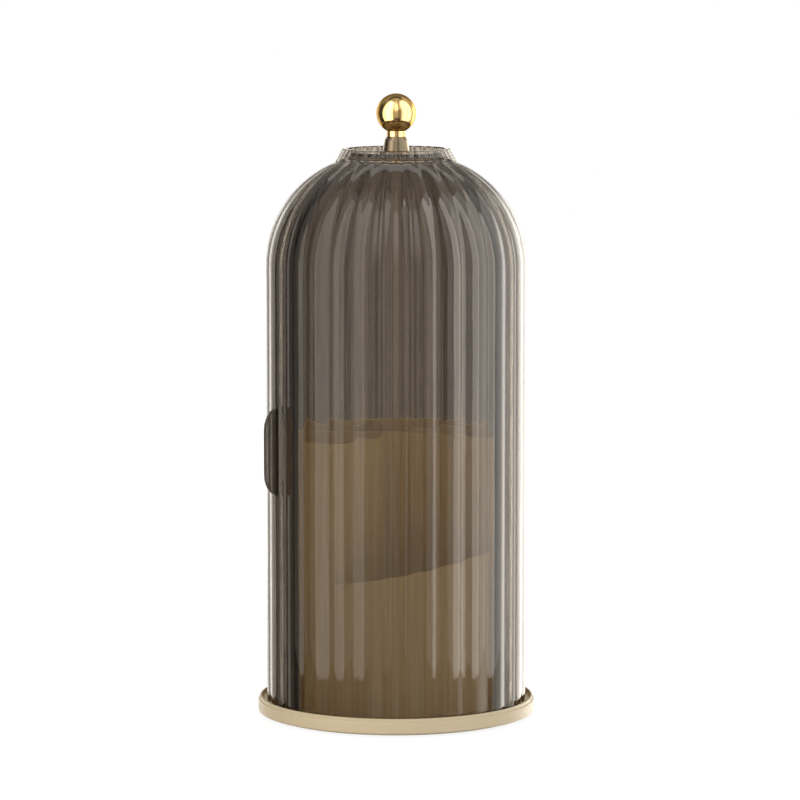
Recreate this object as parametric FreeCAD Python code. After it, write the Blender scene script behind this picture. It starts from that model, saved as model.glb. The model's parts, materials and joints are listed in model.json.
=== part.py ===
import FreeCAD, Part
import math
import os

from FreeCAD import Vector

# Makeup brush holder: a ball-bearing turntable carries a divided cup under a reeded dome,
# whose front door slides round the outside, with a ball knob on top.
# Millimetres, +Z up, front towards -Y, origin at the centre of the resting face.
# Angles round the axis are degrees from the front, positive towards +X.

# Clearances
overrun = 1.0
running_clearance = 0.06
seat_clearance = 0.1
slide_gap = 0.35
turn_gap = 0.4

# Foot disc and its rubber pads
foot_height = 4.4
foot_floor = 1.8
foot_rim_width = 6.0
foot_edge_round = 1.4
pad_radius = 6.0
pad_thickness = 1.6
pad_sunk = 0.8
pad_inset = 12.6
pad_count = 4

# Turntable tray, with a skirt that hides the foot
ledge_thickness = 1.4
rim_width = 0.8
rim_height = 2.3
step_width = 0.7
step_drop = 1.6
skirt_wall = 2.0
skirt_lift = 1.6
boss_height = 2.5
tray_edge_round = 0.5
skirt_round = 1.0
stop_width = 1.6
door_travel = 180.0

# Ball bearing
ball_radius = 1.5
ball_count = 12
ball_play = 0.05
race_inset = 13.6
race_width = 6.0
race_thickness = 0.8
groove_depth = 0.25
cage_width = 5.0
cage_thickness = 1.3
pocket_play = 0.15

# Centre pivot
post_radius = 5.0
post_play = 0.1
pivot_washer_radius = 9.0
pivot_washer_thickness = 0.8
pivot_shank_radius = 1.5
pivot_shank_length = 6.0
pivot_head_radius = 3.4
pivot_head_height = 2.2

# Divided cup
cup_gap = 2.8
cup_height = 132.2
cup_wall = 1.8
cup_floor = 2.0
low_start = -29.0
low_end = 65.0
ramp_low = 63.2
ramp_high = 80.2
ramp_round = 4.0
tall_pocket_count = 4
corner_round = 5.0
pocket_round = 3.0
hub_clearance = 0.8
hub_wall = 1.8
cup_rim_round = 0.5

# Cross recess of the screws, as shares of their heads
recess_reach_share = 0.55
recess_width_share = 0.2
recess_depth_share = 0.45

# Screws that hold the cup to the tray
cup_screw_count = 3
cup_screw_circle = 30.0
cup_screw_start = 18.0
cup_screw_radius = 1.3
cup_screw_head_radius = 2.4
cup_screw_head_height = 1.4
cup_screw_grip = 5.0
cup_boss_radius = 3.2
cup_boss_height = 6.0

# Reeded shells: the fixed one inside, the door round it
dome_radius = 64.8
shell_straight = 218.0
arc_offset = 10.0
shell_wall = 1.1
flute_depth = 0.9
flute_count = 30
valley_share = 0.26
points_per_flute = 12
doorway_half_angle = 50.0
door_half_angle = 60.0
tongue_width = 14.0
tongue_angles = (110.0, 180.0, 250.0)

# Crown of the fixed shell and the door's hoop that turns round it
crown_radius = 30.3
crown_wall = 1.8
collar_height = 5.0
collar_lean = 29.0
top_plate = 2.0
hoop_wall = 2.2
hoop_rise = 2.0

# Finger fin on the door's edge
fin_reach = 7.9
fin_length = 45.0
fin_thickness = 2.0
fin_height = 106.2
fin_corner = 11.5
fin_edge_round = 0.5

# Knob
knob_base_radius = 6.8
knob_shoulder_radius = 5.8
knob_shoulder_drop = 1.8
knob_base_top_radius = 4.7
knob_base_height = 7.9
knob_base_round = 0.5
neck_radius = 4.5
neck_height = 2.7
knob_radius = 9.8
knob_screw_radius = 2.0
knob_screw_depth = 10.0
knob_head_radius = 3.8
knob_head_height = 2.4
knob_washer_radius = 6.0
knob_washer_thickness = 0.8

# Levels, from the surface that the holder stands on
foot_bottom = pad_thickness - pad_sunk
foot_floor_top = foot_bottom + foot_floor
foot_top = foot_bottom + foot_height
tray_bottom = foot_top + turn_gap
ledge_top = tray_bottom + ledge_thickness
rim_top = ledge_top + rim_height
step_level = rim_top - step_drop
boss_top = ledge_top + boss_height
lower_race_top = foot_floor_top + race_thickness
ball_level = lower_race_top - groove_depth + ball_play + ball_radius
upper_race_bottom = ball_level + ball_radius + ball_play - groove_depth
upper_race_top = upper_race_bottom + race_thickness
post_top = boss_top + post_play
pivot_head_bottom = post_top + pivot_washer_thickness
hub_recess_top = pivot_head_bottom + pivot_head_height + hub_clearance
cup_floor_top = boss_top + cup_floor
cup_rim = boss_top + cup_height
spring_level = ledge_top + shell_straight
door_bottom = ledge_top + slide_gap

# Radii of the two shells, from the inside out
rear_inner_radius = dome_radius - flute_depth - shell_wall
door_inner_radius = dome_radius + slide_gap
door_radius = door_inner_radius + shell_wall + flute_depth
boss_radius = rear_inner_radius - seat_clearance
cup_radius = rear_inner_radius - cup_gap
rim_inner_radius = door_radius + slide_gap
rim_radius = rim_inner_radius + rim_width
tray_radius = rim_radius + step_width
skirt_inner_radius = tray_radius - skirt_wall
foot_radius = skirt_inner_radius - turn_gap
foot_dish_radius = foot_radius - foot_rim_width
pad_circle = foot_radius - pad_inset
race_circle = foot_dish_radius - race_inset

# Crown and hoop, from where the dome's arc reaches the crown's edge
dome_arc_radius = dome_radius - arc_offset
crown_level = spring_level + math.sqrt(dome_arc_radius ** 2 - (crown_radius - arc_offset) ** 2)
plate_top = crown_level + collar_height
plate_bottom = plate_top - top_plate
hoop_bottom = crown_level + slide_gap
hoop_top = plate_top + hoop_rise
lean = math.tan(math.radians(collar_lean))

# Knob, from the plate that it stands on
knob_base_top = plate_top + knob_base_height
neck_top = knob_base_top + neck_height
knob_centre = neck_top + math.sqrt(knob_radius ** 2 - neck_radius ** 2)

UP = Vector(0, 0, 1)
ORIGIN = Vector(0, 0, 0)
FULL_TURN = 360.0


def around(radius, angle, level=0):
    """Point at a radius and an angle from the front."""
    turn = math.radians(angle)
    return Vector(radius * math.sin(turn), -radius * math.cos(turn), level)


def disc(radius, bottom, top, centre=ORIGIN):
    """Upright round bar between two levels."""
    return Part.makeCylinder(radius, top - bottom, Vector(centre.x, centre.y, bottom))


def ring(inner, outer, bottom, top):
    """Flat ring between two levels."""
    return disc(outer, bottom, top).cut(disc(inner, bottom - overrun, top + overrun))


def sector(radius, start, end, bottom, top):
    """Pie slice between two angles, its point on the axis."""
    slice_ = Part.makeCylinder(radius, top - bottom, Vector(0, 0, bottom), UP, end - start)
    slice_.rotate(ORIGIN, UP, start - FULL_TURN / 4)
    return slice_


def revolved(points):
    """Solid of a closed outline of (radius, level) points turned round the axis."""
    corners = [Vector(radius, 0, level) for radius, level in points]
    outline = Part.makePolygon(corners + corners[:1])
    return Part.Face(outline).revolve(ORIGIN, UP, FULL_TURN)


def edges_at(shape, radius, level):
    """Round edges of a shape at a radius and a level."""
    near = seat_clearance / 10
    found = []
    for edge in shape.Edges:
        curve = edge.Curve
        if isinstance(curve, Part.Circle):
            if abs(curve.Radius - radius) < near and abs(curve.Center.z - level) < near:
                found.append(edge)
    return found


def upright_edges(shape, bottom, top):
    """Straight edges of a shape that run from one level to another."""
    near = seat_clearance / 10
    found = []
    for edge in shape.Edges:
        box = edge.BoundBox
        if abs(box.ZMin - bottom) < near and abs(box.ZMax - top) < near:
            if max(box.XLength, box.YLength) < near:
                found.append(edge)
    return found


def flute_wave(place):
    """Depth of a reed, 0 on its crest and 1 in its valley, at a share of the way round it."""
    half = 1 / 2
    crest_half = half * (1 - valley_share)
    from_crest = min(place, 1 - place)
    if from_crest < crest_half:
        return from_crest ** 2 / (crest_half * half)
    return 1 - (half - from_crest) ** 2 / (valley_share * half ** 2)


def flute_outline():
    """Closed reeded outline of crest radius 1, which the shells scale to each of their radii."""
    count = flute_count * points_per_flute
    points = []
    for step in range(count):
        angle = FULL_TURN * step / count
        wave = flute_wave(step % points_per_flute / points_per_flute)
        points.append(around(1 - flute_depth / dome_radius * wave, angle))
    outline = Part.BSplineCurve()
    outline.interpolate(Points=points, PeriodicFlag=True)
    return outline


def line_profile(start, end):
    """Straight profile between two (radius, level) points."""
    poles = [Vector(radius, 0, level) for radius, level in (start, end)]
    profile = Part.BSplineCurve()
    profile.buildFromPolesMultsKnots(poles, [2, 2], [0, 1], False, 1, [1, 1])
    return profile


def dome_profile(crest_radius, end_radius):
    """Profile of a dome's arc from its spring line in to a smaller radius."""
    arc_radius = crest_radius - arc_offset
    turn = math.acos((end_radius - arc_offset) / arc_radius)
    half = turn / 2
    poles = []
    for angle, reach in ((0, 1), (half, 1 / math.cos(half)), (turn, 1)):
        out = arc_offset + arc_radius * reach * math.cos(angle)
        poles.append(Vector(out, 0, spring_level + arc_radius * reach * math.sin(angle)))
    profile = Part.BSplineCurve()
    profile.buildFromPolesMultsKnots(poles, [3, 3], [0, 1], False, 2, [1, math.cos(half), 1])
    return profile


def fluted_face(profile, outline):
    """Reeded face: the outline scaled to each radius of the profile."""
    rounds = outline.getPoles()
    poles = [[Vector(p.x * q.x, p.x * q.y, p.z) for q in rounds] for p in profile.getPoles()]
    weights = [[weight] * len(rounds) for weight in profile.getWeights()]
    surface = Part.BSplineSurface()
    surface.buildFromPolesMultsKnots(
        poles,
        profile.getMultiplicities(),
        outline.getMultiplicities(),
        profile.getKnots(),
        outline.getKnots(),
        False,
        True,
        profile.Degree,
        outline.Degree,
        weights,
    )
    return surface.toShape()


def fluted_solid(profiles, outline):
    """Closed reeded solid over a run of joined profiles, with flat ends."""
    faces = [fluted_face(profile, outline) for profile in profiles]
    for end in (profiles[0].StartPoint, profiles[-1].EndPoint):
        rim = outline.copy()
        rim.scale(ORIGIN, end.x)
        rim.translate(Vector(0, 0, end.z))
        faces.append(Part.Face(Part.Wire(rim.toShape())))
    shell = Part.makeShell(faces)
    shell.sewShape()
    solid = Part.makeSolid(shell)
    if solid.Volume < 0:
        solid.reverse()
    return solid


def dome_cavity(radius, bottom, end_radius):
    """Smooth inside of a dome shell, from below its foot up to a radius of its arc."""
    arc_radius = radius - arc_offset
    turn = math.acos((end_radius - arc_offset) / arc_radius)
    centre = Vector(arc_offset, 0, spring_level)

    def on_arc(angle):
        return centre + Vector(arc_radius * math.cos(angle), 0, arc_radius * math.sin(angle))

    spring = on_arc(0)
    end = on_arc(turn)
    arc = Part.Arc(spring, on_arc(turn / 2), end).toShape()
    run = [Vector(0, 0, end.z), Vector(0, 0, bottom), Vector(radius, 0, bottom), spring]
    edges = [Part.makeLine(run[i], run[i + 1]) for i in range(len(run) - 1)]
    edges += [arc, Part.makeLine(end, run[0])]
    return Part.Face(Part.Wire(edges)).revolve(ORIGIN, UP, FULL_TURN)


def cross_recess(head_radius, head_bottom, head_top):
    """Cross that a screwdriver fits, sunk in the crown of a screw's head."""
    reach = head_radius * recess_reach_share
    width = head_radius * recess_width_share
    floor = head_top + (head_bottom - head_top) * recess_depth_share
    low = min(floor, head_top)
    depth = abs(head_top - floor)
    arm = Part.makeBox(2 * reach, width, depth, Vector(-reach, -width / 2, low))
    other = Part.makeBox(width, 2 * reach, depth, Vector(-width / 2, -reach, low))
    return arm.fuse(other)


def pan_screw(shank_radius, head_radius, head_bottom, head_top, shank_end):
    """Pan-head screw on the axis: the head between two levels, the shank to a third."""
    head = disc(head_radius, min(head_bottom, head_top), max(head_bottom, head_top))
    crown = edges_at(head, head_radius, head_top)
    head = head.makeFillet(abs(head_top - head_bottom) / 2, crown)
    head = head.cut(cross_recess(head_radius, head_bottom, head_top))
    return head.fuse(disc(shank_radius, min(head_bottom, shank_end), max(head_bottom, shank_end)))


def washer(shank_radius, radius, bottom, top):
    """Flat washer that is loose on a screw's shank."""
    return ring(shank_radius + seat_clearance, radius, bottom, top)


# Foot

def foot_disc():
    """Moulded foot: a dished disc with a rim, the centre post and recesses for the pads."""
    body = disc(foot_radius, foot_bottom, foot_top)
    rim_edges = edges_at(body, foot_radius, foot_bottom) + edges_at(body, foot_radius, foot_top)
    body = body.makeFillet(foot_edge_round, rim_edges)
    body = body.cut(disc(foot_dish_radius, foot_floor_top, foot_top + overrun))
    body = body.fuse(disc(post_radius, foot_floor_top, post_top))
    body = body.cut(disc(pivot_shank_radius, post_top - pivot_shank_length, post_top + overrun))
    for centre in pad_places():
        recess = disc(pad_radius + seat_clearance, 0, foot_bottom + pad_sunk, centre)
        body = body.cut(recess)
    return body


def pad_places():
    """Centres of the rubber pads, between the front and the sides."""
    step = FULL_TURN / pad_count
    return [around(pad_circle, step * (number + 1 / 2)) for number in range(pad_count)]


def rubber_pad(centre):
    """Non-slip pad sunk in the foot's underside."""
    pad = disc(pad_radius, 0, pad_thickness, centre)
    lower = [edge for edge in pad.Edges if edge.BoundBox.ZMax < pad_sunk / 2]
    return pad.makeChamfer(pad_sunk / 4, lower)


# Ball bearing

def ball_places():
    """Centres of the bearing balls."""
    step = FULL_TURN / ball_count
    return [around(race_circle, step * number, ball_level) for number in range(ball_count)]


def race(bottom, top):
    """Pressed steel race with a groove that the balls roll in."""
    half = race_width / 2
    groove = Part.makeTorus(race_circle, ball_radius + ball_play, Vector(0, 0, ball_level))
    return ring(race_circle - half, race_circle + half, bottom, top).cut(groove)


def ball_cage():
    """Plastic cage that keeps the balls apart."""
    half = cage_width / 2
    bottom = ball_level - cage_thickness / 2
    top = bottom + cage_thickness
    cage = ring(race_circle - half, race_circle + half, bottom, top)
    for centre in ball_places():
        cage = cage.cut(disc(ball_radius + pocket_play, bottom - overrun, top + overrun, centre))
    return cage


def bearing_balls():
    """Steel balls, one group of separate solids."""
    return Part.makeCompound([Part.makeSphere(ball_radius, centre) for centre in ball_places()])


# Turntable

def tray():
    """Turning tray: a boss for the cup, a ledge for the shells, a low rim and a skirt."""
    skirt = disc(tray_radius, skirt_lift, step_level)
    skirt = skirt.makeFillet(skirt_round, edges_at(skirt, tray_radius, skirt_lift))
    skirt = skirt.makeFillet(tray_edge_round, edges_at(skirt, tray_radius, step_level))
    rim = disc(rim_radius, tray_bottom, rim_top)
    rim = rim.makeFillet(tray_edge_round, edges_at(rim, rim_radius, rim_top))
    body = skirt.fuse(rim).cut(disc(skirt_inner_radius, 0, tray_bottom))
    body = body.cut(ring(boss_radius, rim_inner_radius, ledge_top, rim_top + overrun))
    body = body.fuse(disc(boss_radius, ledge_top, boss_top))
    body = body.cut(disc(post_radius + running_clearance, 0, boss_top + overrun))
    half = race_width / 2 + seat_clearance
    body = body.cut(ring(race_circle - half, race_circle + half, 0, upper_race_top))
    for centre in cup_screw_places():
        head_room = disc(
            cup_screw_head_radius + seat_clearance, 0, tray_bottom + cup_screw_head_height, centre
        )
        shank_room = disc(cup_screw_radius + seat_clearance, 0, boss_top + overrun, centre)
        body = body.cut(head_room.fuse(shank_room))
    for angle in tongue_angles:
        body = body.cut(tongue(angle, seat_clearance, overrun))
    for angle in stop_angles():
        body = body.fuse(door_stop(angle))
    return body.removeSplitter()


def stop_angles():
    """Middle angles of the two ribs that stop the door, closed and open."""
    room = math.degrees((stop_width / 2 + slide_gap) / door_inner_radius)
    return (-door_half_angle - room, door_half_angle + door_travel + room)


def door_stop(angle):
    """Small rib across the ledge, from the rim in to just clear of the fixed shell."""
    rib_inner = dome_radius + slide_gap
    middle = (rim_inner_radius + rim_radius) / 2
    rib = Part.makeBox(
        middle - rib_inner,
        stop_width,
        rim_height,
        Vector(rib_inner, -stop_width / 2, ledge_top),
    )
    rib.rotate(ORIGIN, UP, angle - FULL_TURN / 4)
    return rib


def cup_screw_places():
    """Centres of the screws that hold the cup."""
    step = FULL_TURN / cup_screw_count
    angles = [cup_screw_start + step * number for number in range(cup_screw_count)]
    return [around(cup_screw_circle, angle) for angle in angles]


def cup_screws():
    """Self-tapping screws from under the tray, one group of separate solids."""
    head_top = tray_bottom + cup_screw_head_height
    tip = boss_top + cup_screw_grip
    screws = []
    for centre in cup_screw_places():
        screw = pan_screw(cup_screw_radius, cup_screw_head_radius, head_top, tray_bottom, tip)
        screw.translate(centre)
        screws.append(screw)
    return Part.makeCompound(screws)


# Cup

def wedge(start, end, grow, radius, bottom, top):
    """Pie slice whose flat sides are moved apart by grow, or together where it is negative."""
    half = math.radians((end - start) / 2)
    slice_ = sector(radius * 2, start, end, bottom, top)
    slice_.translate(around(-grow / math.sin(half), (start + end) / 2))
    return slice_.common(disc(radius, bottom, top))


def pocket(start, end):
    """Inside of one tall compartment, with rounded corners."""
    inside = wedge(
        start, end, -cup_wall / 2, cup_radius - cup_wall, cup_floor_top, cup_rim + overrun
    )
    corners = upright_edges(inside, cup_floor_top, cup_rim + overrun)
    return inside.makeFillet(pocket_round, corners)


def ramp_cut():
    """What is cut off above the low front wall: a slope that rises to a rounded step."""
    middle = (low_start + low_end) / 2
    half_width = cup_radius * math.sin(math.radians((low_end - low_start) / 2))
    low = boss_top + ramp_low
    high = boss_top + ramp_high
    above = cup_rim + overrun
    corners = [
        Vector(-half_width, 0, low),
        Vector(half_width, 0, high),
        Vector(half_width, 0, above),
        Vector(-half_width, 0, above),
    ]
    face = Part.Face(Part.makePolygon(corners + corners[:1]))
    cutter = face.extrude(Vector(0, -cup_radius - overrun, 0))
    step = [edge for edge in cutter.Edges if edge.BoundBox.ZMax - high < overrun / 2]
    step = [edge for edge in step if edge.BoundBox.XMin > half_width - overrun / 2]
    cutter = cutter.makeFillet(ramp_round, step)
    cutter.rotate(ORIGIN, UP, middle)
    return cutter


def brush_cup():
    """Divided cup: tall compartments round the back and a low sloping one in front."""
    tall_end = low_start + FULL_TURN
    tall = wedge(low_end, tall_end, cup_wall / 2, cup_radius, boss_top, cup_rim)
    tall = tall.makeFillet(corner_round, upright_edges(tall, boss_top, cup_rim))
    front = disc(cup_radius, boss_top, boss_top + ramp_high + ramp_round)
    front = front.cut(ramp_cut())
    low_inside = wedge(
        low_start, low_end, -cup_wall / 2, cup_radius - cup_wall, cup_floor_top, cup_rim
    )
    front = front.cut(low_inside)
    cup = tall.fuse(front)
    step = (tall_end - low_end) / tall_pocket_count
    for number in range(tall_pocket_count):
        cup = cup.cut(pocket(low_end + step * number, low_end + step * (number + 1)))
    hub_radius = pivot_washer_radius + hub_clearance
    cup = cup.fuse(disc(hub_radius + hub_wall, boss_top, hub_recess_top + hub_wall))
    cup = cup.cut(disc(hub_radius, 0, hub_recess_top))
    for centre in cup_screw_places():
        cup = cup.fuse(disc(cup_boss_radius, boss_top, cup_floor_top + cup_boss_height, centre))
    for centre in cup_screw_places():
        cup = cup.cut(disc(cup_screw_radius, 0, boss_top + cup_screw_grip, centre))
    cup = cup.removeSplitter()
    near = seat_clearance / 10
    rims = [edge for edge in cup.Edges if edge.BoundBox.ZMin > cup_rim - near]
    return cup.makeFillet(cup_rim_round, rims)


# Dome

def collar_radius(level):
    """Outside radius of the fixed shell's collar at a level."""
    return hoop_inner_radius(level) - slide_gap


def hoop_inner_radius(level):
    """Inside radius of the door's hoop at a level."""
    return crown_radius - hoop_wall - (level - hoop_bottom) * lean


def tongue(angle, grow, drop):
    """Tongue on the fixed shell's foot, or its slot in the tray where it is grown."""
    inner = rear_inner_radius - grow
    outer = dome_radius - flute_depth + grow
    width = tongue_width + 2 * grow
    block = Part.makeBox(
        outer, width, ledge_thickness + drop, Vector(0, -width / 2, tray_bottom - drop)
    )
    block.rotate(ORIGIN, UP, angle - FULL_TURN / 4)
    return block.common(ring(inner, outer, tray_bottom - drop, ledge_top))


def rear_shell(outline):
    """Fixed reeded dome with a doorway in front and a closed crown that carries the knob."""
    profiles = [
        line_profile((dome_radius, ledge_top), (dome_radius, spring_level)),
        dome_profile(dome_radius, crown_radius),
    ]
    shell = fluted_solid(profiles, outline)
    shell = shell.fuse(
        revolved(
            [
                (0, crown_level - crown_wall),
                (collar_radius(crown_level), crown_level - crown_wall),
                (collar_radius(crown_level), crown_level),
                (collar_radius(plate_top), plate_top),
                (0, plate_top),
            ]
        )
    )
    crown_inside = crown_level - crown_wall
    inner_arc = rear_inner_radius - arc_offset
    rise = crown_inside - spring_level
    cavity_end = arc_offset + math.sqrt(inner_arc ** 2 - rise ** 2)
    shell = shell.cut(dome_cavity(rear_inner_radius, 0, cavity_end))
    shell = shell.cut(
        revolved(
            [
                (0, crown_inside - overrun),
                (collar_radius(crown_inside) - crown_wall, crown_inside - overrun),
                (collar_radius(crown_inside) - crown_wall, crown_inside),
                (collar_radius(plate_bottom) - crown_wall, plate_bottom),
                (0, plate_bottom),
            ]
        )
    )
    doorway = sector(
        door_radius, -doorway_half_angle, doorway_half_angle, ledge_top - overrun, crown_inside
    )
    shell = shell.cut(doorway)
    shell = shell.cut(
        disc(knob_screw_radius + seat_clearance, plate_bottom - overrun, plate_top + overrun)
    )
    for angle in tongue_angles:
        shell = shell.fuse(tongue(angle, 0, 0))
    return shell


def door_shell(outline):
    """Sliding reeded door: a slice of dome on a full hoop that turns round the collar."""
    hoop_base_inner = hoop_inner_radius(hoop_bottom)
    profiles = [
        line_profile((door_radius, door_bottom), (door_radius, spring_level)),
        dome_profile(door_radius, hoop_base_inner),
    ]
    panel = fluted_solid(profiles, outline)
    panel = panel.cut(dome_cavity(door_inner_radius, 0, arc_offset))
    panel = panel.common(
        sector(
            door_radius + overrun, -door_half_angle, door_half_angle, 0, hoop_top + overrun
        )
    )
    hoop_top_radius = crown_radius - (hoop_top - hoop_bottom) * lean
    hoop_profile = line_profile((crown_radius, hoop_bottom), (hoop_top_radius, hoop_top))
    door = panel.fuse(fluted_solid([hoop_profile], outline))
    below = hoop_bottom - overrun
    above = hoop_top + overrun
    bore = revolved(
        [
            (0, below),
            (hoop_inner_radius(below), below),
            (hoop_inner_radius(above), above),
            (0, above),
        ]
    )
    return door.cut(bore).fuse(finger_fin())


def finger_fin():
    """Upright fin with rounded corners on the door's left edge."""
    root = door_inner_radius + shell_wall / 2
    tip = door_radius + fin_reach
    low = door_bottom + fin_height
    high = low + fin_length
    reach = tip - root

    def corner(level, side):
        """Quarter ellipse from the root out to the straight outer edge."""
        points = []
        for angle in (0, math.pi / 4, math.pi / 2):
            out = root + reach * math.sin(angle)
            points.append(Vector(out, 0, level + side * fin_corner * math.cos(angle)))
        curve = Part.BSplineCurve()
        ahead = [Vector(1, 0, 0), Vector(reach, 0, -side * fin_corner), Vector(0, 0, -side)]
        curve.interpolate(Points=points, Tangents=ahead, TangentFlags=[True, False, True])
        return curve.toShape()

    upper = corner(high - fin_corner, 1)
    lower = corner(low + fin_corner, -1)
    edge = Part.makeLine(Vector(tip, 0, high - fin_corner), Vector(tip, 0, low + fin_corner))
    back = Part.makeLine(Vector(root, 0, low), Vector(root, 0, high))
    outline = Part.Wire(Part.__sortEdges__([upper, edge, lower, back]))
    fin = Part.Face(outline).extrude(Vector(0, fin_thickness, 0))
    outer = [edge for edge in fin.Edges if edge.BoundBox.XMax > root + seat_clearance]
    rims = [edge for edge in outer if edge.BoundBox.YLength < seat_clearance]
    fin = fin.makeFillet(fin_edge_round, rims)
    fin.rotate(ORIGIN, UP, -door_half_angle - FULL_TURN / 4)
    return fin


# Knob

def knob_base():
    """Tapered seat with a sloped shoulder, between the top plate and the ball."""
    shoulder = knob_base_top - knob_shoulder_drop
    seat = revolved(
        [
            (0, plate_top),
            (knob_base_radius, plate_top),
            (knob_shoulder_radius, shoulder),
            (knob_base_top_radius, knob_base_top),
            (0, knob_base_top),
        ]
    )
    seat = seat.makeFillet(knob_base_round, edges_at(seat, knob_shoulder_radius, shoulder))
    bore = disc(knob_screw_radius + seat_clearance, plate_top - overrun, knob_base_top + overrun)
    return seat.cut(bore)


def knob_ball():
    """Ball with a short neck, bored for the screw."""
    ball = Part.makeSphere(knob_radius, Vector(0, 0, knob_centre))
    ball = ball.fuse(disc(neck_radius, knob_base_top, knob_centre))
    return ball.cut(disc(knob_screw_radius, plate_top, knob_base_top + knob_screw_depth))


def write(name, shape):
    """Save one piece as a STEP file and print what it measures."""
    shape.exportStep(os.path.join("parts", name + ".step"))
    box = shape.BoundBox
    print(f"{name}: {len(shape.Solids)} solid(s), valid {shape.isValid()}, "
          f"{shape.Volume / 1000:.2f} cm3, z {box.ZMin:.2f} to {box.ZMax:.2f}")


def main():
    os.makedirs("parts", exist_ok=True)
    outline = flute_outline()
    washer_bottom = plate_bottom - knob_washer_thickness
    write("foot_disc", foot_disc())
    for number, centre in enumerate(pad_places(), 1):
        write(f"rubber_pad_{number}", rubber_pad(centre))
    write("lower_race", race(foot_floor_top, lower_race_top))
    write("ball_cage", ball_cage())
    write("bearing_balls", bearing_balls())
    write("upper_race", race(upper_race_bottom, upper_race_top))
    write("turntable_tray", tray())
    write("pivot_washer", washer(pivot_shank_radius, pivot_washer_radius, post_top, pivot_head_bottom))
    write(
        "pivot_screw",
        pan_screw(
            pivot_shank_radius,
            pivot_head_radius,
            pivot_head_bottom,
            pivot_head_bottom + pivot_head_height,
            post_top - pivot_shank_length,
        ),
    )
    write("brush_cup", brush_cup())
    write("cup_screws", cup_screws())
    write("rear_shell", rear_shell(outline))
    write("door_shell", door_shell(outline))
    write("knob_base", knob_base())
    write("knob_ball", knob_ball())
    write("knob_washer", washer(knob_screw_radius, knob_washer_radius, washer_bottom, plate_bottom))
    write(
        "knob_screw",
        pan_screw(
            knob_screw_radius,
            knob_head_radius,
            washer_bottom,
            washer_bottom - knob_head_height,
            knob_base_top + knob_screw_depth,
        ),
    )


main()
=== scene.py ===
# %% [markdown]
# A makeup brush holder with a smoked, reeded dome
# The holder is a turning tray with a divided cream cup under a dome of smoked plastic.
# The dome has two shells: a fixed one behind, and a door in front that slides round it.
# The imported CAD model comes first. It fixes where every piece is, so nothing is moved here:
# the lesson only gives the pieces finer surfaces, materials, light and a camera.

# %% Load the CAD model
import json
import math

import bmesh
import bpy
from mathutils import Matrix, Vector


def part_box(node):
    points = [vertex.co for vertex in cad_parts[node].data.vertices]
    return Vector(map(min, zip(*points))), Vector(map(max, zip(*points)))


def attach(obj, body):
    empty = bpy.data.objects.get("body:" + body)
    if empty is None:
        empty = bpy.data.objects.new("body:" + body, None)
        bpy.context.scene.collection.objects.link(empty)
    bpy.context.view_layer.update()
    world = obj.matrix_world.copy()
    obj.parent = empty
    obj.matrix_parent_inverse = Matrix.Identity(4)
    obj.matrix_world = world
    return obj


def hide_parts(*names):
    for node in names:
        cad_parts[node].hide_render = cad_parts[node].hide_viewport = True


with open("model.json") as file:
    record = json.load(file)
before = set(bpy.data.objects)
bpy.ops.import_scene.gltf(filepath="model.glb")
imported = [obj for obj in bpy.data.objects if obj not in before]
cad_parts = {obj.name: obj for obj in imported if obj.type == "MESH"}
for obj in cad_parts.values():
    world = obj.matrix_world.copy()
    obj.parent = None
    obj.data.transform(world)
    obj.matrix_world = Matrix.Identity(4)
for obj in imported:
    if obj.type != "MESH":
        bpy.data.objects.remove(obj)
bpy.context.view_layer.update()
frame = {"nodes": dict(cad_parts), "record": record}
MM = 0.001
nodes = frame["nodes"]
scene = bpy.context.scene

# %% [markdown]
# The camera stands two metres away with a long lens, a little above the holder and
# tilted down, as a product photographer would set it. Its place was found by fitting the
# outline of the dome and base, so the values are kept as they came out.

# %% Camera
camera_distance = 2062.7 * MM
camera_height = 393.7 * MM
camera_side = 1.9 * MM
camera_tilt = math.radians(6.53)
camera_range = 20.0
sensor_mm = 36.0
image_side_px = 800
focal_px = 4169.6

camera_data = bpy.data.cameras.new("photo_camera")
camera_data.sensor_width = sensor_mm
camera_data.lens = focal_px / image_side_px * sensor_mm
camera_data.clip_end = camera_range
camera = bpy.data.objects.new("photo_camera", camera_data)
camera.location = (camera_side, -camera_distance, camera_height)
camera.rotation_euler = (math.pi / 2 - camera_tilt, 0, 0)
scene.collection.objects.link(camera)
scene.camera = camera
print("lens in mm:", round(camera_data.lens, 1))

# %% [markdown]
# Node trees are long to write by hand, so a few small helpers make them readable:
# they add a node and set its inputs, work out a sum, step smoothly from one level to
# another, start an empty material, and start a group whose named sockets work like the
# arguments of a function.

# %% Helpers for node trees
def add_node(tree, kind, inputs=None, **settings):
    """Add a node. An input may be a plain value or the output socket that feeds it."""
    node = tree.nodes.new(kind)
    for name, value in settings.items():
        setattr(node, name, value)
    for key, value in (inputs or {}).items():
        socket = node.inputs[key]
        if isinstance(value, bpy.types.NodeSocket):
            tree.links.new(value, socket)
        else:
            socket.default_value = value
    return node


def math_node(tree, operation, first, second=0.0, third=0.0):
    """One sum of up to three numbers; each is a value or a socket."""
    inputs = {0: first, 1: second, 2: third}
    return add_node(tree, "ShaderNodeMath", inputs, operation=operation).outputs[0]


def ramp(tree, value, start, end, at_start, at_end):
    """Smooth step from one level to another while a value runs from start to end."""
    return add_node(
        tree,
        "ShaderNodeMapRange",
        {"Value": value, "From Min": start, "From Max": end, "To Min": at_start, "To Max": at_end},
        interpolation_type="SMOOTHSTEP",
    ).outputs[0]


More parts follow.
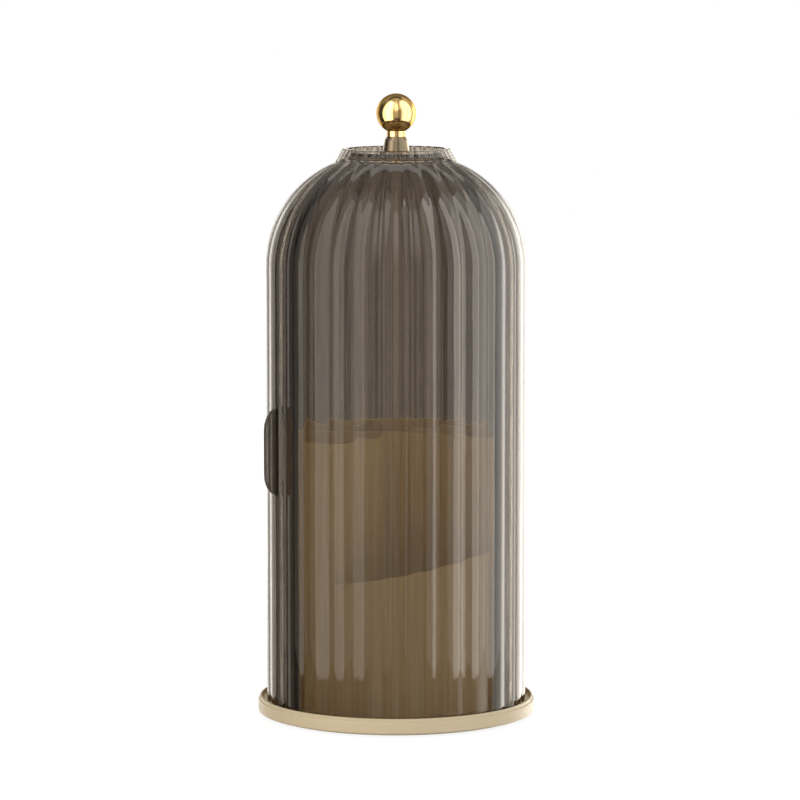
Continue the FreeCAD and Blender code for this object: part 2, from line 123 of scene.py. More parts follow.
def start_group(name, kind, inputs, outputs):
    """A node group with named sockets, given as (name, socket type, default)."""
    group = bpy.data.node_groups.new(name, kind)
    for label, socket_type, default in inputs:
        socket = group.interface.new_socket(label, in_out="INPUT", socket_type=socket_type)
        if default is not None:
            socket.default_value = default
    for label, socket_type in outputs:
        group.interface.new_socket(label, in_out="OUTPUT", socket_type=socket_type)
    start = group.nodes.new("NodeGroupInput")
    end = group.nodes.new("NodeGroupOutput")
    return group, start.outputs, end.inputs


def start_material(name):
    """An empty node material with its output node."""
    material = bpy.data.materials.new(name)
    material.use_nodes = True
    material.node_tree.nodes.clear()
    output = material.node_tree.nodes.new("ShaderNodeOutputMaterial")
    return material, material.node_tree, output.inputs["Surface"]


def use_group(tree, group, inputs=None):
    """Place a shader group in a material and return its outputs."""
    return add_node(tree, "ShaderNodeGroup", inputs, node_tree=group).outputs


FLOAT = "NodeSocketFloat"
COLOR = "NodeSocketColor"
print("helpers ready")

# %% [markdown]
# Real surfaces are never quite even, and a noise is the plain way to say so: it runs from
# 0 to 1, so half is taken off and the rest swings a value up and down about its middle.

# %% Helpers for uneven surfaces
def noise_node(tree, place, scale, detail):
    """Noise from 0 to 1 at a place."""
    inputs = {"Vector": place, "Scale": scale, "Detail": detail}
    return add_node(tree, "ShaderNodeTexNoise", inputs).outputs["Fac"]


def vary(tree, noise, amount, middle):
    """A number that swings about its middle with a noise."""
    swing = math_node(tree, "SUBTRACT", noise, 0.5)
    return math_node(tree, "MULTIPLY_ADD", swing, amount, middle)


def scale_color(tree, color, factor):
    """A colour times a number."""
    inputs = {0: color, "Scale": factor}
    return add_node(tree, "ShaderNodeVectorMath", inputs, operation="SCALE").outputs[0]


def bump_node(tree, height, strength, depth, under=None):
    """Normal of a fine relief, which may lie on that of a coarser one."""
    inputs = {"Height": height, "Strength": strength, "Distance": depth}
    if under is not None:
        inputs["Normal"] = under
    return add_node(tree, "ShaderNodeBump", inputs).outputs[0]


print("noise helpers ready")

# %% [markdown]
# Moulded plastic shows how it was made. The melt leaves faint upright flow bands, and the
# polished or grained mould leaves a fine skin. Both go into one shader group, which the
# smoked shells, the cream mouldings and the nylon cage share with their own values.

# %% Shader group: moulded skin
flow_stretch = (1.0, 1.0, 0.12)
flow_scale = 42.0
patch_scale = 70.0


def make_moulded_skin():
    """Colour with flow bands, roughness with patches, and a fine height for a bump."""
    inputs = [
        ("Color", COLOR, (0.5, 0.5, 0.5, 1.0)),
        ("Flow", FLOAT, 0.05),
        ("Roughness", FLOAT, 0.4),
        ("Patch", FLOAT, 0.05),
        ("Grain scale", FLOAT, 1500.0),
    ]
    outputs = [("Color", COLOR), ("Roughness", FLOAT), ("Height", FLOAT)]
    group, given, result = start_group("moulded_skin", "ShaderNodeTree", inputs, outputs)
    place = add_node(group, "ShaderNodeTexCoord").outputs["Object"]
    upright = add_node(group, "ShaderNodeMapping", {"Vector": place, "Scale": flow_stretch})
    flow = noise_node(group, upright.outputs[0], flow_scale, 3.0)
    patch = noise_node(group, place, patch_scale, 4.0)
    grain = noise_node(group, place, given["Grain scale"], 2.0)
    tint = scale_color(group, given["Color"], vary(group, flow, given["Flow"], 1.0))
    rough = vary(group, patch, given["Patch"], given["Roughness"])
    group.links.new(tint, result["Color"])
    group.links.new(rough, result["Roughness"])
    group.links.new(grain, result["Height"])
    return group


moulded_skin = make_moulded_skin()
print("group:", moulded_skin.name)

# %% [markdown]
# Plated and turned metal shows fine marks from polishing and from the lathe. This group
# makes rings round the upright axis, by a noise that is read by height alone, and a faint
# haze. The ball, its seat and the steel use it.

# %% Shader group: turned metal
haze_scale = 160.0


def make_turned_metal():
    """Colour and roughness with a faint haze, and the height of fine rings round the axis."""
    inputs = [
        ("Color", COLOR, (0.8, 0.8, 0.8, 1.0)),
        ("Roughness", FLOAT, 0.1),
        ("Haze", FLOAT, 0.05),
        ("Ring scale", FLOAT, 2500.0),
    ]
    outputs = [("Color", COLOR), ("Roughness", FLOAT), ("Height", FLOAT)]
    group, given, result = start_group("turned_metal", "ShaderNodeTree", inputs, outputs)
    place = add_node(group, "ShaderNodeTexCoord").outputs["Object"]
    parts = add_node(group, "ShaderNodeSeparateXYZ", {0: place}).outputs
    rings = add_node(group, "ShaderNodeCombineXYZ", {"Z": parts["Z"]}).outputs[0]
    marks = noise_node(group, rings, given["Ring scale"], 3.0)
    haze = noise_node(group, place, haze_scale, 4.0)
    tint = scale_color(group, given["Color"], vary(group, haze, given["Haze"], 1.0))
    rough = vary(group, haze, given["Haze"], given["Roughness"])
    group.links.new(tint, result["Color"])
    group.links.new(rough, result["Roughness"])
    group.links.new(marks, result["Height"])
    return group


turned_metal = make_turned_metal()
print("group:", turned_metal.name)

# %% [markdown]
# Fine lines run up the wall of the dome, as the melt was drawn, and meet at the crown. A
# noise on the plain place would look like clouds. One that is read by the direction from the
# axis, and hardly by height, gives such lines, and it has no seam.

# %% Fine lines in the plastic
line_scale = 42.0
line_rise = 0.3


def vector_node(tree, operation, *inputs):
    """One sum of vectors, each a value or a socket; returns the outputs."""
    return add_node(
        tree, "ShaderNodeVectorMath", dict(enumerate(inputs)), operation=operation
    ).outputs


def draw_lines(tree, place, flat):
    """Fine upright lines that meet at the crown, as a value from 0 to 1."""
    around = vector_node(tree, "NORMALIZE", flat)["Vector"]
    drawn = vector_node(tree, "MULTIPLY_ADD", place, (0.0, 0.0, line_rise), around)["Vector"]
    return noise_node(tree, drawn, line_scale, 3.0)


print("scale of the lines:", line_scale)

# %% [markdown]
# Smoked plastic is as dark as it is thick. Light that crosses a wall at a slant meets more
# plastic, so Layer Weight deepens the tint towards the sides. The collar is paler, and the
# height above its foot says where it starts. The finger fin is the one thing that reaches
# past the reeds, and it is thicker than a wall, so the distance from the axis darkens it.

# %% How much light the plastic lets through
slant_tint = 0.5
line_tint = 0.5
collar_height = 5.0 * MM
collar_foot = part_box("rear_shell")[1].z - collar_height
collar_pale = 1.9
reeds_reach = 67.2 * MM
fin_deep = 0.6
blend_over = 1.0 * MM


def passed_share(tree, place, flat, lines):
    """Share of its colour that the plastic keeps, for the slant and the place."""
    slant = add_node(tree, "ShaderNodeLayerWeight", {"Blend": 0.5}).outputs["Facing"]
    longer = add_node(
        tree, "ShaderNodeMapRange", {"Value": slant, "To Min": 1.0, "To Max": slant_tint}
    ).outputs[0]
    height = add_node(tree, "ShaderNodeSeparateXYZ", {0: place}).outputs["Z"]
    paler = ramp(tree, height, collar_foot, collar_foot + blend_over, 1.0, collar_pale)
    out = vector_node(tree, "LENGTH", flat)["Value"]
    deeper = ramp(tree, out, reeds_reach, reeds_reach + blend_over, 1.0, fin_deep)
    passed = vary(tree, lines, line_tint, 1.0)
    for factor in (longer, paler, deeper):
        passed = math_node(tree, "MULTIPLY", passed, factor)
    return passed


print("collar starts at mm:", round(collar_foot / MM, 1))

# %% [markdown]
# The dome is smoked polystyrene: clear, grey-brown and glossy. A wall of it is a closed
# mesh with a front and a back, and the base colour is what one whole wall lets through.
# Bent light can't reach the cup by lamp rays, so those rays go straight through a plain
# tint instead. Without that the cup would stand in the dark.

# %% Material: smoked plastic
smoke_color = (0.338, 0.297, 0.256, 1.0)
smoke_shade = (0.79, 0.737, 0.643, 1.0)
smoke_index = 1.52
smoke_skin = {
    "Color": smoke_color,
    "Flow": 0.16,
    "Roughness": 0.025,
    "Patch": 0.02,
    "Grain scale": 260.0,
}
smoke_bump = 0.05
smoke_grain = 0.2 * MM
line_depth = 0.03 * MM


def make_smoked_plastic():
    material, tree, surface = start_material("smoked_plastic")
    skin = use_group(tree, moulded_skin, smoke_skin)
    place = add_node(tree, "ShaderNodeTexCoord").outputs["Object"]
    flat = vector_node(tree, "MULTIPLY", place, (1.0, 1.0, 0.0))["Vector"]
    lines = draw_lines(tree, place, flat)
    drawn = bump_node(tree, lines, 1.0, line_depth)
    glass = add_node(
        tree,
        "ShaderNodeBsdfPrincipled",
        {
            "Base Color": scale_color(tree, skin["Color"], passed_share(tree, place, flat, lines)),
            "Roughness": skin["Roughness"],
            "Normal": bump_node(tree, skin["Height"], smoke_bump, smoke_grain, drawn),
            "IOR": smoke_index,
            "Transmission Weight": 1.0,
        },
    )
    clear = add_node(tree, "ShaderNodeBsdfTransparent", {"Color": smoke_shade})
    ray = add_node(tree, "ShaderNodeLightPath").outputs
    passing = math_node(tree, "MAXIMUM", ray["Is Shadow Ray"], ray["Is Diffuse Ray"])
    mix = add_node(
        tree, "ShaderNodeMixShader", {0: passing, 1: glass.outputs[0], 2: clear.outputs[0]}
    )
    tree.links.new(mix.outputs[0], surface)
    return material


smoked_plastic = make_smoked_plastic()
print("material:", smoked_plastic.name)

# %% [markdown]
# Cup, tray and foot are one cream plastic with a satin skin. The colour is even, so what
# makes it read as a moulding is the soft sheen, the faint bands and the fine mould grain.
# The bearing's nylon cage and the rubber pads are made by the same function.

# %% Materials: cream plastic, nylon and rubber
skin_patch = 0.08
skin_bump = 0.35


def make_plastic(name, color, roughness, flow, grain_scale, grain_depth, specular=0.5):
    """Opaque moulded material with a fine skin."""
    material, tree, surface = start_material(name)
    skin = use_group(
        tree,
        moulded_skin,
        {
            "Color": color,
            "Flow": flow,
            "Roughness": roughness,
            "Patch": skin_patch,
            "Grain scale": grain_scale,
        },
    )
    shader = add_node(
        tree,
        "ShaderNodeBsdfPrincipled",
        {
            "Base Color": skin["Color"],
            "Roughness": skin["Roughness"],
            "Normal": bump_node(tree, skin["Height"], skin_bump, grain_depth),
            "Specular IOR Level": specular,
        },
    )
    tree.links.new(shader.outputs[0], surface)
    return material


cream_color = (0.60, 0.50, 0.335, 1.0)
nylon_color = (0.72, 0.70, 0.63, 1.0)
rubber_color = (0.022, 0.021, 0.020, 1.0)
cream_plastic = make_plastic("cream_plastic", cream_color, 0.42, 0.06, 1800.0, 0.06 * MM)
cage_nylon = make_plastic("cage_nylon", nylon_color, 0.5, 0.05, 900.0, 0.05 * MM)
pad_rubber = make_plastic("pad_rubber", rubber_color, 0.8, 0.2, 2600.0, 0.1 * MM, specular=0.3)
print("plastics:", cream_plastic.name, cage_nylon.name, pad_rubber.name)

# %% [markdown]
# The ball is gold plate, polished bright, and its seat is a satin champagne metal. A metal
# takes its colour from the base colour, and turns white at a slanting edge. On the ball
# that edge is darker, so Specular Tint brings it down. Screws and bearing are plain steel.

# %% Materials: gold, champagne and steel
mark_bump = 0.2
plain_edge = (1.0, 1.0, 1.0, 1.0)


def make_metal(name, color, roughness, haze, ring_scale, mark_depth, edge_tint=plain_edge):
    """Metal with polishing haze and turning marks; the tint is for its slanting edge."""
    material, tree, surface = start_material(name)
    finish = use_group(
        tree,
        turned_metal,
        {"Color": color, "Roughness": roughness, "Haze": haze, "Ring scale": ring_scale},
    )
    shader = add_node(
        tree,
        "ShaderNodeBsdfPrincipled",
        {
            "Base Color": finish["Color"],
            "Roughness": finish["Roughness"],
            "Normal": bump_node(tree, finish["Height"], mark_bump, mark_depth),
            "Metallic": 1.0,
            "Specular Tint": edge_tint,
        },
    )
    tree.links.new(shader.outputs[0], surface)
    return material


gold_color = (0.86, 0.59, 0.25, 1.0)
gold_edge = (0.40, 0.31, 0.19, 1.0)
champagne_color = (0.30, 0.24, 0.16, 1.0)
steel_color = (0.60, 0.60, 0.60, 1.0)
gold_plate = make_metal("gold_plate", gold_color, 0.09, 0.05, 900.0, 0.004 * MM, gold_edge)
champagne_metal = make_metal("champagne_metal", champagne_color, 0.25, 0.1, 1800.0, 0.03 * MM)
steel = make_metal("steel", steel_color, 0.28, 0.15, 2500.0, 0.02 * MM)
print("metals:", gold_plate.name, champagne_metal.name, steel.name)

# %% [markdown]
# Every CAD node names a slot of the record, so the finishes can be handed out by name.

# %% Give the CAD nodes their finishes
finishes = {
    "smoked_plastic": smoked_plastic,
    "cream_plastic": cream_plastic,
    "gold_plate": gold_plate,
    "champagne_metal": champagne_metal,
    "steel": steel,
    "cage_nylon": cage_nylon,
    "pad_rubber": pad_rubber,
}
slot_of_node = {row["node"]: row["material_slot"] for row in frame["record"]["subparts"]}
for name, node in nodes.items():
    node.data.materials.clear()
    node.data.materials.append(finishes[slot_of_node[name]])
print("finished nodes:", len(nodes))

# %% [markdown]
# The reeded shells are the heart of the piece. Their outside is pressed into thirty soft
# reeds, which run up the wall and draw together at the crown. A reed is a broad crest and a
# narrow valley. Two parabolas that meet with the same slope draw both, and how wide the
# valley is can be set.

# %% The wave of the reeds
def mix_value(tree, share, first, second):
    """A number between two others: the first at a share of 0, the second at 1."""
    return add_node(tree, "ShaderNodeMix", {0: share, 2: first, 3: second}).outputs[0]


def reed_wave(tree, angle, reeds, valley_part):
    """How deep the reeds are at an angle: 0 on a crest, 1 in a valley."""
    phase = math_node(tree, "MULTIPLY", angle, math_node(tree, "DIVIDE", reeds, math.tau))
    off_crest = math_node(tree, "PINGPONG", phase, 0.5)
    to_valley = math_node(tree, "SUBTRACT", 0.5, off_crest)
    crest_part = math_node(tree, "SUBTRACT", 1.0, valley_part)
    crest_bend = math_node(tree, "MULTIPLY", crest_part, 0.25)
    valley_bend = math_node(tree, "MULTIPLY", valley_part, 0.25)
    crest = math_node(tree, "DIVIDE", math_node(tree, "POWER", off_crest, 2.0), crest_bend)
    hollow = math_node(tree, "DIVIDE", math_node(tree, "POWER", to_valley, 2.0), valley_bend)
    valley = math_node(tree, "SUBTRACT", 1.0, hollow)
    valley_half = math_node(tree, "MULTIPLY", valley_part, 0.5)
    in_valley = math_node(tree, "LESS_THAN", to_valley, valley_half)
    return mix_value(tree, in_valley, crest, valley)


print("wave ready")

# %% [markdown]
# On the real dome one upright section is turned round the axis. A node tree can do just
# that: it takes a section drawn as a closed wire, sweeps it round an arc and then moves each
# point in by the reeds' wave. Each point of the wire says how much of the reed it takes: all
# outside, none inside. A named attribute carries such values along the sweep.

# %% Node tree: sweep a section and press the reeds
def store_value(tree, geometry, name, value, data_type):
    """Keep a value on the points under a name."""
    inputs = {"Geometry": geometry, "Name": name, "Value": value}
    return add_node(
        tree, "GeometryNodeStoreNamedAttribute", inputs, data_type=data_type, domain="POINT"
    ).outputs[0]


def read_value(tree, name, data_type):
    """The value that the points keep under a name."""
    return add_node(
        tree, "GeometryNodeInputNamedAttribute", {"Name": name}, data_type=data_type
    ).outputs[0]


def swept_section(tree, given):
    """The section, swept along a plain line whose points know their turn."""
    section = add_node(tree, "GeometryNodeObjectInfo", {"Object": given["Section"]})
    wire = add_node(tree, "GeometryNodeMeshToCurve", {"Mesh": section.outputs["Geometry"]})
    here = add_node(tree, "GeometryNodeInputPosition").outputs[0]
    drawn = store_value(tree, wire.outputs[0], "section_point", here, "FLOAT_VECTOR")
    line = add_node(tree, "GeometryNodeCurvePrimitiveLine", {"End": (1.0, 0.0, 0.0)})
    path = add_node(
        tree,
        "GeometryNodeResampleCurve",
        {"Curve": line.outputs[0], "Count": given["Steps"]},
        mode="COUNT",
    )
    along = add_node(tree, "GeometryNodeSplineParameter").outputs["Factor"]
    turn = math_node(tree, "MULTIPLY_ADD", along, given["Sweep"], given["Start"])
    marked = store_value(tree, path.outputs[0], "turn", turn, "FLOAT")
    return add_node(
        tree,
        "GeometryNodeCurveToMesh",
        {"Curve": marked, "Profile Curve": drawn, "Fill Caps": given["Caps"]},
    ).outputs[0]


def wrapped_place(tree, given):
    """Where a point goes: round the axis by its turn, and in by its reed."""
    angle = read_value(tree, "turn", "FLOAT")
    point = read_value(tree, "section_point", "FLOAT_VECTOR")
    parts = add_node(tree, "ShaderNodeSeparateXYZ", {0: point}).outputs
    wave = reed_wave(tree, angle, given["Reeds"], given["Valley share"])
    depth = math_node(tree, "MULTIPLY", given["Reed share"], read_value(tree, "reed", "FLOAT"))
    shrink = math_node(tree, "SUBTRACT", 1.0, math_node(tree, "MULTIPLY", wave, depth))
    reach = math_node(tree, "MULTIPLY", parts["X"], shrink)
    across = math_node(tree, "MULTIPLY", reach, math_node(tree, "SINE", angle))
    back = math_node(tree, "MULTIPLY", reach, math_node(tree, "COSINE", angle))
    away = math_node(tree, "MULTIPLY", back, -1.0)
    return add_node(
        tree, "ShaderNodeCombineXYZ", {"X": across, "Y": away, "Z": parts["Z"]}
    ).outputs[0]


def make_reeded_sweep():
    inputs = [
        ("Section", "NodeSocketObject", None),
        ("Start", FLOAT, 0.0),
        ("Sweep", FLOAT, math.tau),
        ("Steps", "NodeSocketInt", 480),
        ("Reeds", "NodeSocketInt", 30),
        ("Reed share", FLOAT, 0.01),
        ("Valley share", FLOAT, 0.25),
        ("Caps", "NodeSocketBool", True),
        ("Material", "NodeSocketMaterial", None),
    ]
    outputs = [("Mesh", "NodeSocketGeometry")]
    tree, given, result = start_group("reeded_sweep", "GeometryNodeTree", inputs, outputs)
    tree.is_modifier = True
    wrapped = add_node(
        tree,
        "GeometryNodeSetPosition",
        {"Geometry": swept_section(tree, given), "Position": wrapped_place(tree, given)},
    )
    real = add_node(tree, "GeometryNodeRealizeInstances", {"Geometry": wrapped.outputs[0]})
    painted = add_node(
        tree,
        "GeometryNodeSetMaterial",
        {"Geometry": real.outputs[0], "Material": given["Material"]},
    )
    tree.links.new(painted.outputs[0], result["Mesh"])
    return tree


reeded_sweep = make_reeded_sweep()
print("tree:", reeded_sweep.name, "nodes:", len(reeded_sweep.nodes))

# %% [markdown]
# The sections are drawn from a few sizes of the dome, and the levels come from the packed
# model: the ledge that the shells stand on, the top plate and the top of the hoop.

# %% Sizes of the dome
reed_count = 30
steps_per_reed = 20
arc_steps = 28
corner_steps = 10
dome_radius = 64.8 * MM
reed_depth = 0.9 * MM
valley_share = 0.26
shell_wall = 1.1 * MM
slide_gap = 0.35 * MM
shell_straight = 218.0 * MM
arc_inset = 10.0 * MM
crown_radius = 30.3 * MM
crown_wall = 1.8 * MM
collar_lean = math.tan(math.radians(29.0))
top_plate = 2.0 * MM
hoop_wall = 2.2 * MM
screw_hole = 2.1 * MM
edge_round = 0.3 * MM
fillet_radius = 3.0 * MM
doorway_half = math.radians(50.0)
door_half = math.radians(60.0)

door_low, door_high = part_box("door_shell")
door_bottom = door_low.z
ledge_top = door_bottom - slide_gap
spring_level = ledge_top + shell_straight
plate_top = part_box("rear_shell")[1].z
crown_level = plate_top - collar_height
hoop_bottom = crown_level + slide_gap
hoop_top = door_high.z
rear_inner = dome_radius - reed_depth - shell_wall
door_inner = dome_radius + slide_gap
door_radius = door_inner + shell_wall + reed_depth
print("dome springs at mm:", round(spring_level / MM, 1), "hoop top:", round(hoop_top / MM, 1))

# %% [markdown]
# A section is a ring of points: radius, level, and the share of the reed. Straight runs need
# only their ends, and the dome's shoulder is an arc in short steps. Where the door's dome
# meets its hoop, the real moulding has a hollow fillet, a circle that touches both.

# %% Sections of the two shells
def arc_run(start_radius, end_radius, reed):
    """Points of a dome arc, from the spring line in to a radius."""
    arc_radius = start_radius - arc_inset
    turn = math.acos((end_radius - arc_inset) / arc_radius)
    run = []
    for step in range(arc_steps + 1):
        angle = turn * step / arc_steps
        out = arc_inset + arc_radius * math.cos(angle)
        run.append((out, spring_level + arc_radius * math.sin(angle), reed))
    return run


def hoop_inner(level):
    """Inside radius of the door's hoop at a level."""
    return crown_radius - hoop_wall - (level - hoop_bottom) * collar_lean


def collar_radius(level):
    """Outside radius of the fixed shell's collar, which the hoop turns round."""
    return hoop_inner(level) - slide_gap


def foot_edge(outer, inner, level):
    """Rounded lower edge of a shell: the points inside, below and outside."""
    return [
        (inner, level + edge_round, 0.0),
        (inner + edge_round, level, 0.0),
        (outer - edge_round - reed_depth, level, 0.0),
        (outer, level + edge_round, 1.0),
    ]


def rear_section():
    crown_inside = crown_level - crown_wall
    rise = crown_inside - spring_level
    inner_arc = rear_inner - arc_inset
    inner_end = arc_inset + math.sqrt(inner_arc ** 2 - rise ** 2)
    plate_bottom = plate_top - top_plate
    crown = [
        (collar_radius(crown_level), crown_level, 0.0),
        (collar_radius(plate_top - edge_round), plate_top - edge_round, 0.0),
        (collar_radius(plate_top) - edge_round, plate_top, 0.0),
        (screw_hole, plate_top, 0.0),
        (screw_hole, plate_bottom, 0.0),
        (collar_radius(plate_bottom) - crown_wall, plate_bottom, 0.0),
        (collar_radius(crown_inside) - crown_wall, crown_inside, 0.0),
    ]
    outside = arc_run(dome_radius, crown_radius, 1.0)
    inside = arc_run(rear_inner, inner_end, 0.0)
    return foot_edge(dome_radius, rear_inner, ledge_top) + outside + crown + inside[::-1]


def hoop_fillet():
    """Hollow curve from the door's dome up to the face of its hoop, dome first."""
    slope = math.atan(collar_lean)
    out = Vector((math.cos(slope), math.sin(slope)))
    up = Vector((-math.sin(slope), math.cos(slope)))
    dome_centre = Vector((arc_inset, spring_level))
    dome_arc = door_radius - arc_inset
    foot = Vector((crown_radius, hoop_bottom)) + out * fillet_radius - dome_centre
    along = -foot.dot(up) + math.sqrt(
        foot.dot(up) ** 2 - foot.length_squared + (dome_arc + fillet_radius) ** 2
    )
    centre = dome_centre + foot + up * along
    on_dome = math.atan2(*(dome_centre - centre).yx)
    on_hoop = math.atan2(*(-out).yx) % math.tau - math.tau
    points = []
    for step in range(corner_steps + 1):
        turn = on_dome + (on_hoop - on_dome) * step / corner_steps
        across = fillet_radius * math.cos(turn)
        points.append((centre.x + across, centre.y + fillet_radius * math.sin(turn), 1.0))
    return points


def panel_section():
    fillet = hoop_fillet()
    outside = arc_run(door_radius, fillet[0][0], 1.0) + fillet[1:]
    outside.append((fillet[-1][0] - hoop_wall / 2, fillet[-1][1], 0.0))
    inside = arc_run(door_inner, hoop_inner(hoop_bottom) + hoop_wall / 2, 0.0)
    return foot_edge(door_radius, door_inner, door_bottom) + outside + inside[::-1]


def hoop_section():
    top_radius = hoop_inner(hoop_top) + hoop_wall
    return [
        (hoop_inner(hoop_bottom), hoop_bottom, 0.0),
        (crown_radius, hoop_bottom, 1.0),
        (top_radius + edge_round * collar_lean, hoop_top - edge_round, 1.0),
        (top_radius - edge_round, hoop_top, 1.0),
        (hoop_inner(hoop_top) + edge_round, hoop_top, 0.0),
        (hoop_inner(hoop_top - edge_round), hoop_top - edge_round, 0.0),
    ]


print("points in the sections:", len(rear_section()), len(panel_section()), len(hoop_section()))

# %% [markdown]
# Now the tree is run. The evaluated result becomes a plain mesh, the modifier goes, and
# doubles along the closing seam are merged.

# %% Helpers: from a section to a piece
merge_distance = 0.002 * MM
turn_slack = 1e-6


def link_mesh(name, mesh):
    """A new object at the origin that shows a mesh."""
    piece = bpy.data.objects.new(name, mesh)
    scene.collection.objects.link(piece)
    return piece


def freeze(piece):
    """Turn a piece's evaluated modifiers into its own plain mesh."""
    graph = bpy.context.evaluated_depsgraph_get()
    mesh = bpy.data.meshes.new_from_object(piece.evaluated_get(graph))
    piece.modifiers.clear()
    piece.data = mesh
    return piece


def clean(piece):
    """Merge doubles and point the faces outwards."""
    shape = bmesh.new()
    shape.from_mesh(piece.data)
    bmesh.ops.remove_doubles(shape, verts=shape.verts, dist=merge_distance)
    bmesh.ops.recalc_face_normals(shape, faces=shape.faces)
    shape.to_mesh(piece.data)
    shape.free()
    return piece


def set_input(modifier, label, value):
    """Set a tree's input by the identifier of the socket with this label."""
    for item in modifier.node_group.interface.items_tree:
        if item.item_type == "SOCKET" and item.in_out == "INPUT" and item.name == label:
            modifier[item.identifier] = value


def draw_section(name, section):
    """The wire of a section, with each point's share of the reed."""
    wire = bpy.data.meshes.new(name)
    count = len(section)
    wire.from_pydata(
        [(radius, 0.0, level) for radius, level, reed in section],
        [(i, (i + 1) % count) for i in range(count)],
        [],
    )
    share = wire.attributes.new("reed", "FLOAT", "POINT")
    share.data.foreach_set("value", [reed for radius, level, reed in section])
    return link_mesh(name, wire)


def sweep_section(name, section, start, sweep, material):
    """Reeded piece: a section swept from an angle, round by another."""
    drawing = draw_section(name + "_section", section)
    piece = link_mesh(name, bpy.data.meshes.new(name))
    modifier = piece.modifiers.new("sweep", "NODES")
    modifier.node_group = reeded_sweep
    values = {
        "Section": drawing,
        "Start": start,
        "Sweep": sweep,
        "Steps": round(sweep / math.tau * reed_count * steps_per_reed) + 1,
        "Reeds": reed_count,
        "Reed share": reed_depth / dome_radius,
        "Valley share": valley_share,
        "Caps": sweep < math.tau - turn_slack,
        "Material": material,
    }
    for label, value in values.items():
        set_input(modifier, label, value)
    freeze(piece)
    bpy.data.objects.remove(drawing)
    return clean(piece)


print("sweep helpers ready")

# %% [markdown]
# The pieces are then put together by Boolean cuts and unions, as the mould would: the doorway
# is cut out of the fixed shell, and the door's panel, hoop and finger fin become one skin, so
# that no wall lies inside another. What cuts or joins is a flat outline pulled out to a block.

# %% Helpers: blocks, Booleans and shading
def prism(name, outline, pull):
    """Closed block: a flat outline, pulled out by a vector."""
    shape = bmesh.new()
    face = shape.faces.new([shape.verts.new(point) for point in outline])
    pulled = bmesh.ops.extrude_face_region(shape, geom=[face])
    moved = [item for item in pulled["geom"] if isinstance(item, bmesh.types.BMVert)]
    bmesh.ops.translate(shape, vec=pull, verts=moved)
    bmesh.ops.recalc_face_normals(shape, faces=shape.faces)
    mesh = bpy.data.meshes.new(name)
    shape.to_mesh(mesh)
    shape.free()
    return link_mesh(name, mesh)


def combine(piece, other, operation):
    """Boolean of two closed pieces; the second one is used up."""
    modifier = piece.modifiers.new("combine", "BOOLEAN")
    modifier.operation = operation
    modifier.solver = "EXACT"
    modifier.object = other
    freeze(piece)
    bpy.data.objects.remove(other)
    return piece


def smooth(piece, sharp_degrees):
    """Smooth shading, with an edge where the faces turn by more than an angle."""
    mesh = piece.data
    mesh.polygons.foreach_set("use_smooth", [True] * len(mesh.polygons))
    mesh.set_sharp_from_angle(angle=math.radians(sharp_degrees))
    mesh.update()
    return piece


def set_material(piece, material):
    """One material on the whole piece."""
    piece.data.materials.clear()
    piece.data.materials.append(material)
    piece.data.polygons.foreach_set("material_index", [0] * len(piece.data.polygons))
    return piece


def report(piece):
    """Print what a piece measures, and whether its skin is closed."""
    shape = bmesh.new()
    shape.from_mesh(piece.data)
    open_edges = sum(1 for edge in shape.edges if not edge.is_manifold)
    cubic_cm = shape.calc_volume() * 1e6
    triangles = sum(len(face.verts) - 2 for face in shape.faces)
    shape.free()
    print(f"{piece.name}: {triangles} triangles, {open_edges} open edges, {cubic_cm:.1f} cm3")


print("mesh helpers ready")

# %% [markdown]
# The fixed shell is the back and sides of the dome with the collar and the top plate. It is
# swept all the way round, which keeps the reeds even, and then a slice is cut out in front.
# The cut stops just below the crown, so that the collar stays whole.

# %% Fixed rear shell
cut_past = 5.0 * MM
cut_steps = 24
wall_sharp = 30.0


def wedge_block(name, half_angle, radius, bottom, top):
    """Pie slice about the front, used to cut the doorway."""
    ring = [(0.0, 0.0, bottom)]
    for step in range(cut_steps + 1):
        angle = half_angle * (2 * step / cut_steps - 1)
        ring.append((radius * math.sin(angle), -radius * math.cos(angle), bottom))
    return prism(name, ring, (0.0, 0.0, top - bottom))


rear_piece = sweep_section("reeded_rear_shell", rear_section(), 0.0, math.tau, smoked_plastic)
doorway = wedge_block(
    "doorway",
    doorway_half,
    door_radius + cut_past,
    ledge_top - cut_past,
    crown_level - crown_wall - slide_gap / 10,
)
combine(rear_piece, doorway, "DIFFERENCE")
smooth(clean(set_material(rear_piece, smoked_plastic)), wall_sharp)
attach(rear_piece, "turntable")
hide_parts("rear_shell")
report(rear_piece)

# %% [markdown]
# The door is pulled round by a fin on its left edge: a flat tongue with elliptical corners
# that stands out from the wall. It is drawn flat, given its thickness and a small bevel.
# A flat face that shares smooth shading with its bevel would bend light like a lens, so
# the door is shaded with an edge at a small angle.

# %% Door with its hoop and finger fin
fin_reach = 7.9 * MM
fin_length = 45.0 * MM
fin_thickness = 2.0 * MM
fin_height = 106.2 * MM
fin_corner = 11.5 * MM
fin_round = 0.5 * MM
fin_sharp = 12.0
bevel_segments = 3
bevel_sharp = 40.0


def soften(piece, width):
    """Round the sharp edges and shade the rest smooth."""
    modifier = piece.modifiers.new("soften", "BEVEL")
    modifier.width = width
    modifier.segments = bevel_segments
    modifier.limit_method = "ANGLE"
    modifier.angle_limit = math.radians(bevel_sharp)
    freeze(piece)
    return smooth(piece, bevel_sharp)


